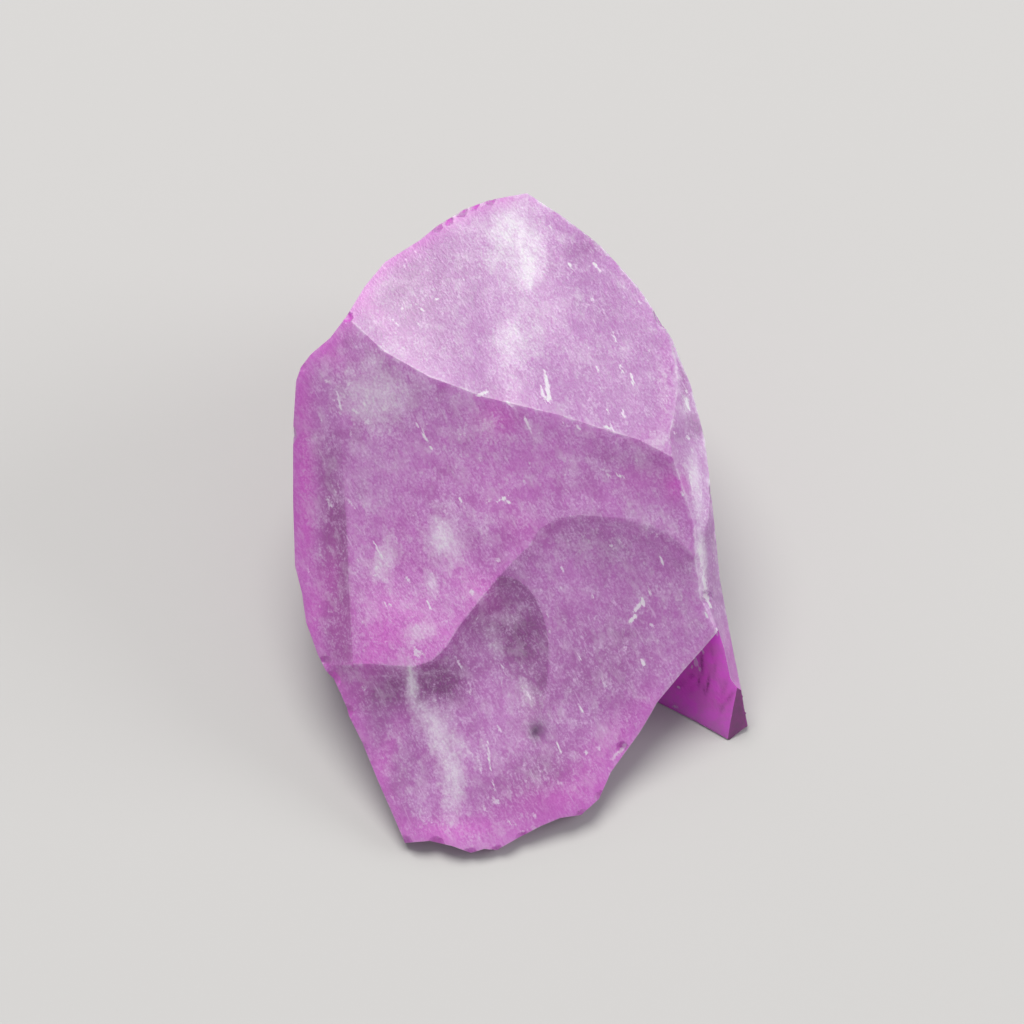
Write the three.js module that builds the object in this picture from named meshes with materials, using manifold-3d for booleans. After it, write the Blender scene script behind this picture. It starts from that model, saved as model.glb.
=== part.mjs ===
// Rough zircon: one broken chunk of crystal, 37 mm long, lying on a flat broken face.
// The front is a height map over a sloping grid, with a vertex on every crease. It is carried down
// as a blank, and the hidden faces, the ground face, the notch and the tip of the leg are cut off it.
import Module from 'manifold-3d';
import * as THREE from 'three';
import { mergeVertices } from 'three/addons/utils/BufferGeometryUtils.js';

// Driving dimensions, mm and degrees
const GRID = 0.055;             // one square of the measuring grid
const GRID_MIDDLE = 512;        // square at the middle of the grid
const TILT = 55;                // slope of the measuring frame above the ground
const MIDDLE_HEIGHT = 8.9;      // height of the middle of the grid above the ground
const EYE = 312.9;              // distance from which the outline is seen
const LEDGE_RUN = 2.2;          // length over which the step under the ledge levels off
const RIDGE_RUN = 3.0;          // length over which the shoulder leaves the ridge
const SCAR_DEPTH = 0.75;
const SCAR_RUN = 0.8;
const GROOVE_DEPTH = 1.1;
const GROOVE_RUN = 0.9;
const STRIP_SLOPE = 0.75;       // fall of the strip beside the crown
const STRIP_RUN = 0.6;          // length over which the lip beside the strip falls
const OUTER_SLOPE = 1.1;        // further fall of the outermost strip
const SIDE_TAPER = 0.88;        // width of the blank at its floor, as a share of its width at the front
const FLOOR = -27;              // floor of the blank, below the ground everywhere
const CELL = 0.62;              // side of a triangle of the front
const MIDDLE = [1.0, -1.0];     // point that the outline is drawn around

// Measuring frame: u to the right, v up the sloping grid, w out of it
const slope = THREE.MathUtils.degToRad(TILT);
const SIN = Math.sin(slope);
const COS = Math.cos(slope);
const squares = (...points) => points.map(([x, y]) => [(x - GRID_MIDDLE) * GRID, (GRID_MIDDLE - y) * GRID]);

// Creases, read in squares of the grid
const RIDGE = squares([300, 262], [348, 318], [385, 352], [430, 377], [485, 397], [530, 408], [560, 415],
  [600, 428], [640, 440], [672, 457], [720, 490]);
const LEDGE = squares([230, 680], [290, 668], [340, 665], [372, 664], [412, 667], [432, 661], [447, 646],
  [460, 625], [480, 600], [500, 576], [529, 546], [540, 529], [556, 519], [580, 515], [620, 518], [650, 525],
  [674, 538], [694, 555], [720, 580], [770, 640]);
const GROOVE = squares([338, 380], [343, 470], [346, 520], [349, 590], [352, 640], [353, 670], [353, 760]);
const STRIP = squares([600, 240], [640, 290], [657, 312], [669, 340], [676, 362], [678, 382], [675, 410],
  [669, 438], [673, 459], [680, 480], [688, 505], [695, 530], [695, 560], [701, 600], [713, 625], [722, 650],
  [720, 678], [742, 699]);
const OUTER = squares([716, 440], [712, 475], [708, 520], [701, 545], [706, 600], [718, 630], [724, 662],
  [729, 681], [745, 700]);
// Height of the strip at its crease and v along it, mm
const STRIP_FOOT = [[-3.46, 14.96], [-2.14, 11.66], [-1.19, 9.46], [-0.15, 7.26], [0.70, 5.06], [1.22, 2.86],
  [1.36, 0.66], [1.26, -1.54], [1.00, -3.20], [0.70, -4.84], [0.40, -7.04], [0.08, -9.00], [-0.20, -10.34]];

// Outline, clockwise from the tip, with the chips along its edge
const OUTLINE = squares([527, 193], [562, 216], [600, 245], [640, 289], [672, 339], [691, 386], [705, 440],
  [712, 500], [720, 580], [734, 655], [749, 727], [731, 742], [700, 725], [657, 704], [640, 732], [611, 772],
  [599, 799], [581, 815], [560, 818], [541, 826], [518, 838], [497, 850], [484, 849], [471, 853], [452, 846],
  [430, 841], [405, 843], [396, 822], [378, 781], [362, 742], [349, 716], [347, 708], [334, 679], [326, 671],
  [318, 655], [306, 622], [302, 593], [295, 566], [293, 500], [293, 430], [296, 381], [301, 367], [311, 354],
  [330, 338], [346, 317], [365, 286], [385, 262], [420, 240], [437, 226], [465, 209], [490, 200]);

// Hidden faces on the ground frame: a point on the face and the way it looks
const BACK = [
  { name: 'back left', at: [-7.9, 11.7, 15], out: [-0.78, 0.62, 0.10] },
  { name: 'back', at: [-2.4, 16.1, 15], out: [-0.46, 0.89, 0.16] },
  { name: 'back right', at: [5.5, 13.8, 14], out: [0.70, 0.72, 0.14] },
  { name: 'right wall', at: [11.2, 6.2, 9], out: [0.93, 0.36, -0.12] },
  { name: 'left wall', at: [-12.3, 4.6, 12], out: [-0.96, 0.28, -0.12] },
  { name: 'left foot', at: [-12.5, -4.9, 5], out: [-0.93, -0.30, -0.22] },
];

// Hollows of flakes struck off the hidden side: middle of the round and its radius
const FLAKES = [
  { name: 'left flake', at: [-22.0, 21.5, 3.0], radius: 18.0 },
  { name: 'right flake', at: [25.5, 16.0, 4.5], radius: 18.5 },
];

// Other coordinate of a crease at t, straight between its points
function along(line, t, axis) {
  const other = 1 - axis;
  const rising = line[line.length - 1][axis] > line[0][axis];
  const first = rising ? line[0] : line[line.length - 1];
  const last = rising ? line[line.length - 1] : line[0];
  if (t <= first[axis]) return first[other];
  if (t >= last[axis]) return last[other];
  for (let i = 1; i < line.length; i += 1) {
    const [a, b] = rising ? [line[i - 1], line[i]] : [line[i], line[i - 1]];
    if (t >= a[axis] && t <= b[axis]) {
      return a[other] + (b[other] - a[other]) * (t - a[axis]) / (b[axis] - a[axis]);
    }
  }
  return last[other];
}

function distanceTo(line, u, v) {
  let nearest = Infinity;
  for (let i = 1; i < line.length; i += 1) {
    const [a, b] = [line[i - 1], line[i]];
    const [x, y] = [b[0] - a[0], b[1] - a[1]];
    const t = THREE.MathUtils.clamp(((u - a[0]) * x + (v - a[1]) * y) / (x * x + y * y), 0, 1);
    nearest = Math.min(nearest, Math.hypot(u - a[0] - t * x, v - a[1] - t * y));
  }
  return nearest;
}

function fade(x, from, to) {
  const t = THREE.MathUtils.clamp((x - from) / (to - from), 0, 1);
  return t * t * (3 - 2 * t);
}

// How far a point lies inside an oval turned by some degrees
function insideOval(u, v, middle, radii, turn) {
  const a = THREE.MathUtils.degToRad(turn);
  const x = (u - middle[0]) * Math.cos(a) + (v - middle[1]) * Math.sin(a);
  const y = -(u - middle[0]) * Math.sin(a) + (v - middle[1]) * Math.cos(a);
  return (1 - Math.hypot(x / radii[0], y / radii[1])) * Math.min(...radii);
}

// Broad surfaces of the front
const crown = (u, v) => 2.6 - 0.55 * (v - 6) - 0.163 * u - 0.006 * u * u - 0.0025 * (v - 6) ** 2;
const body = (u, v) => 2.35 + 0.0085 * (3 - v) ** 2 - 0.015 * (u + 0.5) ** 2;
const lower = (u, v) => 1.5 + 0.0068 * (v + 4) ** 2 - 0.014 * (u + 0.5) ** 2 - 0.05 * u;

// Height of the front without its strips, and a number that changes at every crease
function mainFront(u, v) {
  const ridge = along(RIDGE, u, 0);
  const below = Math.max(ridge - v, 0);
  const upper = body(u, v) + (crown(u, ridge) - body(u, ridge)) * Math.exp(-below / RIDGE_RUN);
  const drop = distanceTo(LEDGE, u, v) * Math.sign(along(LEDGE, u, 0) - v);
  let w = upper;
  let zone = 1;
  if (drop > 0) {
    const run = LEDGE_RUN * (1 + 1.2 * fade(u, 4.5, 9));
    w = lower(u, v) + (upper - lower(u, v)) * Math.exp(-drop / run);
    zone = 2;
  }
  const scar = insideOval(u, v, [-1.7, -9.6], [3.5, 6.2], -14);
  if (drop > 0 && scar > 0) {
    const strength = fade(v, -15.5, -6.5);
    w -= SCAR_DEPTH * strength * (1 - Math.exp(-scar / SCAR_RUN)) * (1 - Math.exp(-drop / 0.5));
    if (strength > 0.3) zone = 3;
  }
  const groove = along(GROOVE, v, 1) - u;
  if (groove > 0) {
    const strength = fade(v, 7.5, -1.5) * fade(v, -11.0, -8.2);
    w -= GROOVE_DEPTH * strength * (1 - Math.exp(-groove / GROOVE_RUN));
    if (strength > 0.3) zone = 4;
  }
  if (v > ridge) {
    w = crown(u, v);
    zone = 5;
  }
  return { w, zone };
}

// Height of the front above the grid; the strip is one band that the rest leaves by a lip
function front(u, v) {
  let { w, zone } = mainFront(u, v);
  const crease = along(STRIP, v, 1);
  const strip = u - crease;
  if (strip > 0) {
    const low = along(STRIP_FOOT, v, 1);
    w = low + (mainFront(crease, v).w - low) * Math.exp(-strip / STRIP_RUN) - STRIP_SLOPE * strip;
    zone = 6;
  }
  const outer = u - along(OUTER, v, 1);
  if (outer > 0) {
    w -= OUTER_SLOPE * outer;
    zone = 7;
  }
  return { w, zone };
}

// Plan of the front: the outline as a distance from the middle, and a number for every zone
const corners = OUTLINE
  .map(([u, v]) => ({ u, v, angle: Math.atan2(v - MIDDLE[1], u - MIDDLE[0]) }))
  .sort((a, b) => a.angle - b.angle);

function reach(angle) {
  let i = corners.findIndex((corner) => corner.angle >= angle);
  if (i < 0) i = 0;
  const b = corners[i];
  const a = corners[(i + corners.length - 1) % corners.length];
  const [x, y] = [b.u - a.u, b.v - a.v];
  const across = (a.u - MIDDLE[0]) * y - (a.v - MIDDLE[1]) * x;
  return across / (Math.cos(angle) * y - Math.sin(angle) * x);
}

function zoneAt([u, v]) {
  const [x, y] = [u - MIDDLE[0], v - MIDDLE[1]];
  return Math.hypot(x, y) < reach(Math.atan2(y, x)) ? front(u, v).zone : 0;
}

const mix = (a, b, t) => [a[0] + (b[0] - a[0]) * t, a[1] + (b[1] - a[1]) * t];

// Lattice of equal triangles over the plan, counter-clockwise seen from the front
function lattice() {
  const points = [];
  const triangles = [];
  const rise = CELL * Math.sqrt(3) / 2;
  const columns = Math.ceil(28 / CELL);
  const rows = Math.ceil(39 / rise);
  for (let row = 0; row <= rows; row += 1) {
    for (let column = 0; column <= columns; column += 1) {
      points.push([-14 + (column + (row % 2) / 2) * CELL, -19.8 + row * rise]);
    }
  }
  const at = (row, column) => row * (columns + 1) + column;
  for (let row = 0; row < rows; row += 1) {
    for (let column = 0; column < columns; column += 1) {
      const [a, b] = [at(row, column), at(row, column + 1)];
      const [c, d] = [at(row + 1, column), at(row + 1, column + 1)];
      if (row % 2) triangles.push([a, b, d], [a, d, c]);
      else triangles.push([a, b, c], [b, d, c]);
    }
  }
  return { points, triangles };
}

// Put a vertex on every corner of the outline, then move the nearer end of every edge that
// crosses a crease onto that crease
function settle(points, triangles) {
  const locked = new Set();
  for (const corner of OUTLINE) {
    let nearest = -1;
    let gap = CELL * 0.75;
    points.forEach(([u, v], i) => {
      const away = Math.hypot(u - corner[0], v - corner[1]);
      if (away < gap && !locked.has(i)) [nearest, gap] = [i, away];
    });
    if (nearest < 0) continue;
    points[nearest] = corner;
    locked.add(nearest);
  }
  const zones = points.map(zoneAt);
  const best = new Map();
  for (const [a, b, c] of triangles) {
    for (const [i, j] of [[a, b], [b, c], [c, a]]) {
      if (i > j || zones[i] === zones[j]) continue;
      let [low, high] = [0, 1];
      for (let step = 0; step < 14; step += 1) {
        const t = (low + high) / 2;
        if (zoneAt(mix(points[i], points[j], t)) === zones[i]) low = t;
        else high = t;
      }
      const [vertex, share] = low < 0.5 ? [i, low] : [j, 1 - low];
      if (locked.has(i) || locked.has(j)) continue;
      if (share < (best.get(vertex)?.share ?? 1)) {
        best.set(vertex, { share, to: mix(points[i], points[j], low) });
      }
    }
  }
  best.forEach(({ to }, vertex) => { points[vertex] = to; });
}

// Where a point of the plan lies in space: the outline is seen from the eye
function onGrid([u, v], w) {
  const scale = (EYE - w) / EYE;
  return [u * scale, v * scale, w];
}

function blank() {
  const { points, triangles } = lattice();
  settle(points, triangles);
  const kept = triangles.filter(([a, b, c]) => {
    const inner = [0, 1].map((k) => (points[a][k] + points[b][k] + points[c][k]) / 3);
    return zoneAt(inner) > 0;
  });
  const after = new Map();
  const edges = new Set(kept.flatMap(([a, b, c]) => [`${a}/${b}`, `${b}/${c}`, `${c}/${a}`]));
  for (const edge of edges) {
    const [a, b] = edge.split('/').map(Number);
    if (!edges.has(`${b}/${a}`)) after.set(a, b);
  }
  const vertices = points.map((point) => onGrid(point, front(...point).w));
  const foot = new Map();
  for (const rim of after.keys()) {
    foot.set(rim, vertices.length);
    vertices.push(onGrid(mix(MIDDLE, points[rim], SIDE_TAPER), FLOOR));
  }
  const bottom = vertices.length;
  vertices.push(onGrid(MIDDLE, FLOOR));
  const faces = [...kept];
  after.forEach((b, a) => {
    faces.push([b, a, foot.get(a)], [b, foot.get(a), foot.get(b)], [foot.get(b), foot.get(a), bottom]);
  });
  return { vertices, faces };
}

// Measuring frame to ground frame and back
const toGround = ([u, v, w]) => [u, v * SIN - w * COS, v * COS + w * SIN + MIDDLE_HEIGHT];
const toGrid = ([x, y, z]) => [x, y * SIN + (z - MIDDLE_HEIGHT) * COS, -y * COS + (z - MIDDLE_HEIGHT) * SIN];

const wasm = await Module();
wasm.setup();

function solid(geometry) {
  geometry.deleteAttribute('normal');
  geometry.deleteAttribute('uv');
  const merged = mergeVertices(geometry, 1e-6);
  return new wasm.Manifold(new wasm.Mesh({
    numProp: 3,
    vertProperties: new Float32Array(merged.getAttribute('position').array),
    triVerts: new Uint32Array(merged.getIndex().array),
  }));
}

// Everything beyond a square face that has a point at its middle and looks one way
function beyond(at, out, side = 90) {
  const looks = new THREE.Vector3(...out).normalize();
  const block = new THREE.BoxGeometry(side, side, 60);
  block.translate(0, 0, 30);
  block.applyQuaternion(new THREE.Quaternion().setFromUnitVectors(new THREE.Vector3(0, 0, 1), looks));
  block.translate(...at);
  return solid(block);
}

// Point of the front, or of the ground, that is seen at one square of the grid
const onFront = (square) => {
  const [point] = squares(square);
  return toGround(onGrid(point, front(...point).w));
};
const onFloor = (square) => {
  const [[u, v]] = squares(square);
  let w = 0;
  for (let i = 0; i < 8; i += 1) w = (-MIDDLE_HEIGHT - v * (EYE - w) / EYE * COS) / SIN;
  return toGround(onGrid([u, v], w));
};

const onFace = (square, at, out) => {
  const [[u, v]] = squares(square);
  const eye = new THREE.Vector3(...toGround([0, 0, EYE]));
  const step = new THREE.Vector3(...toGround([u, v, 0])).sub(eye);
  const look = new THREE.Vector3(...out);
  const share = new THREE.Vector3(...at).sub(eye).dot(look) / step.dot(look);
  return step.multiplyScalar(share).add(eye).toArray();
};

function lookOf(a, b, c, towards) {
  const [p, q, r] = [a, b, c].map((point) => new THREE.Vector3(...point));
  const normal = q.sub(p).cross(r.sub(p)).normalize();
  return normal.dot(new THREE.Vector3(...towards)) < 0 ? normal.negate().toArray() : normal.toArray();
}

// Clean face of the leg: a point on it and the way it looks
function legFace() {
  const top = onFront([718, 630]);
  return [top, lookOf(top, onFloor([731, 742]), onFloor([657, 704]), [0, 0, 1])];
}

// Notch at the right foot: two undercut faces, and the face of the leg behind them
function notch() {
  const [top, inner, foot] = [onFront([718, 630]), onFront([657, 702]), onFront([607, 801])];
  const shift = (point, by) => toGround(toGrid(point).map((value, k) => value + by[k]));
  const first = lookOf(top, inner, shift(inner, [-1.2, 1.2, -4]), [1, -1, 0]);
  const second = lookOf(inner, foot, shift(inner, [-1.6, 0.6, -4]), [1, -1, 0]);
  return beyond(inner, first).intersect(beyond(inner, second)).intersect(beyond(...legFace()));
}

// Small face that ends the leg
function legTip() {
  const [high, low, right] = [onFace([737, 691], ...legFace()), onFloor([727, 741]), onFloor([750, 731])];
  return beyond(high.map((value, k) => (value + low[k]) / 2), lookOf(high, low, right, [1, -1, 0]), 8);
}

const { vertices, faces } = blank();
const raw = new THREE.BufferGeometry();
raw.setAttribute('position', new THREE.Float32BufferAttribute(vertices.flatMap(toGround), 3));
raw.setIndex(faces.flat());

let shape = solid(raw).subtract(beyond([0, 0, 0], [0, 0, -1])).subtract(notch()).subtract(legTip());
for (const { at, out } of BACK) shape = shape.subtract(beyond(at, out));
for (const { at, radius } of FLAKES) {
  shape = shape.subtract(solid(new THREE.IcosahedronGeometry(radius, 22).translate(...at)));
}

const mesh = shape.getMesh();
const geometry = new THREE.BufferGeometry();
geometry.setAttribute('position', new THREE.Float32BufferAttribute(mesh.vertProperties, 3));
geometry.setIndex(Array.from(mesh.triVerts));
geometry.computeBoundingBox();
const middle = geometry.boundingBox.getCenter(new THREE.Vector3());
geometry.translate(-middle.x, -middle.y, -geometry.boundingBox.min.z);

const finish = { name: 'zircon', color: 0xc285c4, roughness: 0.4, flatShading: true };
const material = new THREE.MeshStandardMaterial(finish);
const zircon = new THREE.Mesh(geometry.toNonIndexed(), material);
zircon.geometry.computeVertexNormals();
zircon.name = 'zircon';

const stone = new THREE.Group();
stone.name = 'rough_zircon';
stone.add(zircon);

export default stone;
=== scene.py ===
"""Rough zircon: one broken chunk of frosted pink-magenta crystal, resting on a flat broken face."""
import math
from functools import partial

import bmesh
import bpy
import numpy as np
from bpy.props import FloatProperty, PointerProperty, StringProperty
from bpy.types import Operator, Panel, PropertyGroup
from mathutils import Matrix, Vector


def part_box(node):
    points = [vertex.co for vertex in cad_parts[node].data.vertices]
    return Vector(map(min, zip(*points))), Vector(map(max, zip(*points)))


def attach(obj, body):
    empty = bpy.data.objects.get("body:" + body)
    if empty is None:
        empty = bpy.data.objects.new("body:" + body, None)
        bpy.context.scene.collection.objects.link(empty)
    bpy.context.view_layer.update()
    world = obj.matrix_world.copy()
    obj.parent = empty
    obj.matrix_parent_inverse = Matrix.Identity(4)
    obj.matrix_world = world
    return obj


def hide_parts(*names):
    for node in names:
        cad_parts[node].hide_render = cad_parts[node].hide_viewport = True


bl_info = {
    "name": "Rough zircon",
    "version": (1, 0, 0),
    "blender": (4, 5, 0),
    "location": "3D View > Sidebar > Zircon",
    "description": "Builds a broken, frosted zircon crystal and a plain studio around it",
    "category": "Object",
}

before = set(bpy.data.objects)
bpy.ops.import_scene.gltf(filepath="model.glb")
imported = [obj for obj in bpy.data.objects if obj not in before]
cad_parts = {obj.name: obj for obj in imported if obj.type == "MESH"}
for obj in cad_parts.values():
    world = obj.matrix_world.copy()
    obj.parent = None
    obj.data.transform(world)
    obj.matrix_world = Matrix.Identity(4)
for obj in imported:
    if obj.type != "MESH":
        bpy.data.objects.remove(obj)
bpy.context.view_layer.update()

MM = 0.001
GRID = 0.055            # mm to one square of the measuring grid
GRID_MIDDLE = 512.0     # square at the middle of the grid
SLOPE = math.radians(55.0)          # height of the eye over the ground, as an angle
SIN, COS = math.sin(SLOPE), math.cos(SLOPE)
MIDDLE_HEIGHT = 8.9     # mm from the ground to the middle of the grid
EYE = 312.9             # mm from the middle of the grid to the eye
FLOOR = -27.0           # mm, floor of the uncut blank
SIDE_TAPER = 0.88       # size of the blank at its floor, as a share of its top
SIDE_STEPS = (0.012, 0.035, 0.08, 0.16, 0.32, 0.60, 1.0)    # rings of the sides, as shares of the way down
MIDDLE = np.array([1.0, -1.0])      # mm, middle of the outline

# Zones of the front, 0 outside it
SHOULDER, UNDER_LEDGE, IN_SCAR, IN_GROOVE, CROWN, IN_STRIP, IN_OUTER = range(1, 8)

LEDGE_SOFTER = 1.2      # how much longer the step under the ledge is at its right end
LEDGE_SOFTENS = (4.5, 9.0)          # mm, where across the stone it lengthens
SCAR = (-1.7, -9.6), (3.5, 6.2), -14.0      # middle and radii in mm, turn in degrees
SCAR_FADES = (-15.5, -6.5)          # mm, height of the front over which the scar deepens
SCAR_RUN = 0.8          # mm from the edge of the scar over which it sinks
SCAR_LEDGE_RUN = 0.5    # mm from the ledge over which it sinks
GROOVE_FADES = (7.5, -1.5), (-11.0, -8.2)   # mm, where the groove deepens going down, and ends
GROOVE_RUN = 0.9        # mm over which the groove sinks
STRIP_RUN = 0.6         # mm over which the lip beside the strip falls
STRIP_SLOPE = 0.75      # mm that the strip falls in each mm to the right
OUTER_SLOPE = 1.1       # and how much more the outer strip falls
ZONE_FROM = 0.3         # strength from which the scar and the groove count as zones
BLOW_TURN = -29.0       # degrees, way that the flecks and scratches of the front lie
SHARP_ANGLE = 20.0      # degrees, crease that shows as an edge
ON_FRONT = 0.05         # mm from the front within which a face belongs to it
WORN_BEND = 0.88        # cosine of the bend from which an edge between hidden faces wears
WORN_SPACE = 2.3        # mm between two nicks of such an edge, at least
LIGHT_TURNS = 6         # times that light is followed on, in and out of the stone


def squares(*points):
    """Squares of the grid to mm: right of its middle, and up from it."""
    p = np.array(points, float)
    return np.column_stack([(p[:, 0] - GRID_MIDDLE) * GRID, (GRID_MIDDLE - p[:, 1]) * GRID])


# Creases of the front, read in squares of the grid
RIDGE = squares(
    (300, 262), (348, 318), (385, 352), (430, 377), (485, 397), (530, 408), (560, 415), (600, 428),
    (640, 440), (672, 457), (720, 490))
LEDGE = squares(
    (230, 680), (290, 668), (340, 665), (372, 664), (412, 667), (432, 661), (447, 646), (460, 625),
    (480, 600), (500, 576), (529, 546), (540, 529), (556, 519), (580, 515), (620, 518), (650, 525),
    (674, 538), (694, 555), (720, 580), (770, 640))
GROOVE = squares(
    (338, 380), (343, 470), (346, 520), (349, 590), (352, 640), (353, 670), (353, 760))
STRIP = squares(
    (600, 240), (640, 290), (657, 312), (669, 340), (676, 362), (678, 382), (675, 410), (669, 438),
    (673, 459), (680, 480), (688, 505), (695, 530), (695, 560), (701, 600), (713, 625), (722, 650),
    (720, 678), (742, 699))
OUTER = squares(
    (716, 440), (712, 475), (708, 520), (701, 545), (706, 600), (718, 630), (724, 662), (729, 681),
    (745, 700))
# Height of the strip at its crease and v along it, mm
STRIP_FOOT = np.array([
    (-3.46, 14.96), (-2.14, 11.66), (-1.19, 9.46), (-0.15, 7.26), (0.70, 5.06), (1.22, 2.86),
    (1.36, 0.66), (1.26, -1.54), (1.00, -3.20), (0.70, -4.84), (0.40, -7.04), (0.08, -9.00),
    (-0.20, -10.34)])
OUTLINE = squares(
    (527, 193), (562, 216), (600, 245), (640, 289), (672, 339), (691, 386), (705, 440), (712, 500),
    (720, 580), (734, 655), (749, 727), (731, 742), (700, 725), (657, 704), (640, 732), (611, 772),
    (599, 799), (581, 815), (560, 818), (541, 826), (518, 838), (497, 850), (484, 849), (471, 853),
    (452, 846), (430, 841), (405, 843), (396, 822), (378, 781), (362, 742), (349, 716), (347, 708),
    (334, 679), (326, 671), (318, 655), (306, 622), (302, 593), (295, 566), (293, 500), (293, 430),
    (296, 381), (301, 367), (311, 354), (330, 338), (346, 317), (365, 286), (385, 262), (420, 240),
    (437, 226), (465, 209), (490, 200))

# Hidden faces on the ground frame, mm: a point on the face and the way it looks
BACK = (
    ((-7.9, 11.7, 15.0), (-0.78, 0.62, 0.10)),
    ((-2.4, 16.1, 15.0), (-0.46, 0.89, 0.16)),
    ((5.5, 13.8, 14.0), (0.70, 0.72, 0.14)),
    ((11.2, 6.2, 9.0), (0.93, 0.36, -0.12)),
    ((-12.3, 4.6, 12.0), (-0.96, 0.28, -0.12)),
    ((-12.5, -4.9, 5.0), (-0.93, -0.30, -0.22)),
)
# Hollows of flakes struck off the hidden side, mm: middle of the round and its radius
FLAKES = (
    ((-22.0, 21.5, 3.0), 18.0),
    ((25.5, 16.0, 4.5), 18.5),
)
# Chips along the rim, in squares: middle, radius, depth in mm
CHIPS = (
    (333, 679, 8, 0.50), (347, 712, 7, 0.45), (325, 662, 6, 0.30), (362, 748, 5, 0.25),
    (404, 845, 9, 0.35), (436, 846, 9, 0.30), (470, 856, 8, 0.35), (498, 854, 8, 0.35),
    (524, 840, 8, 0.30), (583, 818, 8, 0.35), (602, 798, 7, 0.40), (436, 226, 6, 0.45),
    (448, 220, 5, 0.35), (461, 211, 6, 0.45), (474, 205, 5, 0.30), (490, 199, 6, 0.40),
    (300, 366, 6, 0.30), (347, 317, 6, 0.30), (707, 597, 6, 0.35), (622, 748, 6, 0.30),
    (741, 700, 6, 0.30),
)


def lin(code):
    """sRGB hex to linear red, green, blue and alpha."""
    parts = [int(code[i:i + 2], 16) / 255.0 for i in (1, 3, 5)]
    return tuple(c / 12.92 if c <= 0.04045 else ((c + 0.055) / 1.055) ** 2.4 for c in parts) + (1.0,)


# Surface of the front, as whole arrays

def along(line, t, axis):
    """The other coordinate of a crease at t, straight between its points."""
    order = np.argsort(line[:, axis], kind="stable")
    return np.interp(t, line[order, axis], line[order, 1 - axis])


def distance_to(line, u, v):
    """Shortest distance from each point to a line of straight pieces."""
    nearest = np.full(np.shape(u), np.inf)
    for a, b in zip(line[:-1], line[1:]):
        x, y = b - a
        t = np.clip(((u - a[0]) * x + (v - a[1]) * y) / (x * x + y * y), 0.0, 1.0)
        nearest = np.minimum(nearest, np.hypot(u - a[0] - t * x, v - a[1] - t * y))
    return nearest


def fade(x, start, end):
    """0 at start, 1 at end, smooth between."""
    t = np.clip((x - start) / (end - start), 0.0, 1.0)
    return t * t * (3.0 - 2.0 * t)


def inside_oval(u, v, middle, radii, turn):
    """How far each point lies inside an oval turned by some degrees."""
    a = math.radians(turn)
    x = (u - middle[0]) * math.cos(a) + (v - middle[1]) * math.sin(a)
    y = -(u - middle[0]) * math.sin(a) + (v - middle[1]) * math.cos(a)
    return (1.0 - np.hypot(x / radii[0], y / radii[1])) * min(radii)


def under_ledge(u, v):
    """Distance from the ledge, above 0 under it."""
    return distance_to(LEDGE, u, v) * np.sign(along(LEDGE, u, 0) - v)


def crown(u, v):
    """Broad face above the ridge: a plane that falls to the top, bowed a little."""
    return 2.6 - 0.55 * (v - 6.0) - 0.163 * u - 0.006 * u * u - 0.0025 * (v - 6.0) ** 2


def body(u, v):
    """Middle of the front: rounded from side to side, hollow from top to bottom."""
    return 2.35 + 0.0085 * (3.0 - v) ** 2 - 0.015 * (u + 0.5) ** 2


def lower(u, v):
    """Front under the ledge: rounded from side to side, hollow from top to bottom, and lower."""
    return 1.5 + 0.0068 * (v + 4.0) ** 2 - 0.014 * (u + 0.5) ** 2 - 0.05 * u


def main_front(u, v, sizes):
    """Height of the front without its strips, and a number for the zone each point is in.

    The shoulder meets the crown on the ridge and leaves it by a falling exponential. Under the ledge the
    surface drops to the lower front by another, which is longer to the right. The scar and the groove are
    sunk the same way and fade out.
    """
    ridge = along(RIDGE, u, 0)
    below = np.maximum(ridge - v, 0.0)
    upper = body(u, v) + (crown(u, ridge) - body(u, ridge)) * np.exp(-below / sizes["ridge_run"])
    drop = under_ledge(u, v)
    run = sizes["ledge_run"] * (1 + LEDGE_SOFTER * fade(u, *LEDGE_SOFTENS))
    fallen = np.exp(-np.maximum(drop, 0.0) / run)
    w = np.where(drop > 0, lower(u, v) + (upper - lower(u, v)) * fallen, upper)
    zone = np.where(drop > 0, UNDER_LEDGE, SHOULDER)
    scar = inside_oval(u, v, *SCAR)
    strength = fade(v, *SCAR_FADES)
    sunk = strength * (1 - np.exp(-np.maximum(scar, 0) / SCAR_RUN))
    sunk = sunk * (1 - np.exp(-np.maximum(drop, 0) / SCAR_LEDGE_RUN))
    in_scar = (drop > 0) & (scar > 0)
    w = w - np.where(in_scar, sizes["scar_depth"] * sunk, 0.0)
    zone = np.where(in_scar & (strength > ZONE_FROM), IN_SCAR, zone)
    groove = along(GROOVE, v, 1) - u
    strength = fade(v, *GROOVE_FADES[0]) * fade(v, *GROOVE_FADES[1])
    sunk = strength * (1 - np.exp(-np.maximum(groove, 0) / GROOVE_RUN))
    w = w - np.where(groove > 0, sizes["groove_depth"] * sunk, 0.0)
    zone = np.where((groove > 0) & (strength > ZONE_FROM), IN_GROOVE, zone)
    w = np.where(v > ridge, crown(u, v), w)
    zone = np.where(v > ridge, CROWN, zone)
    return w, zone


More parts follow.
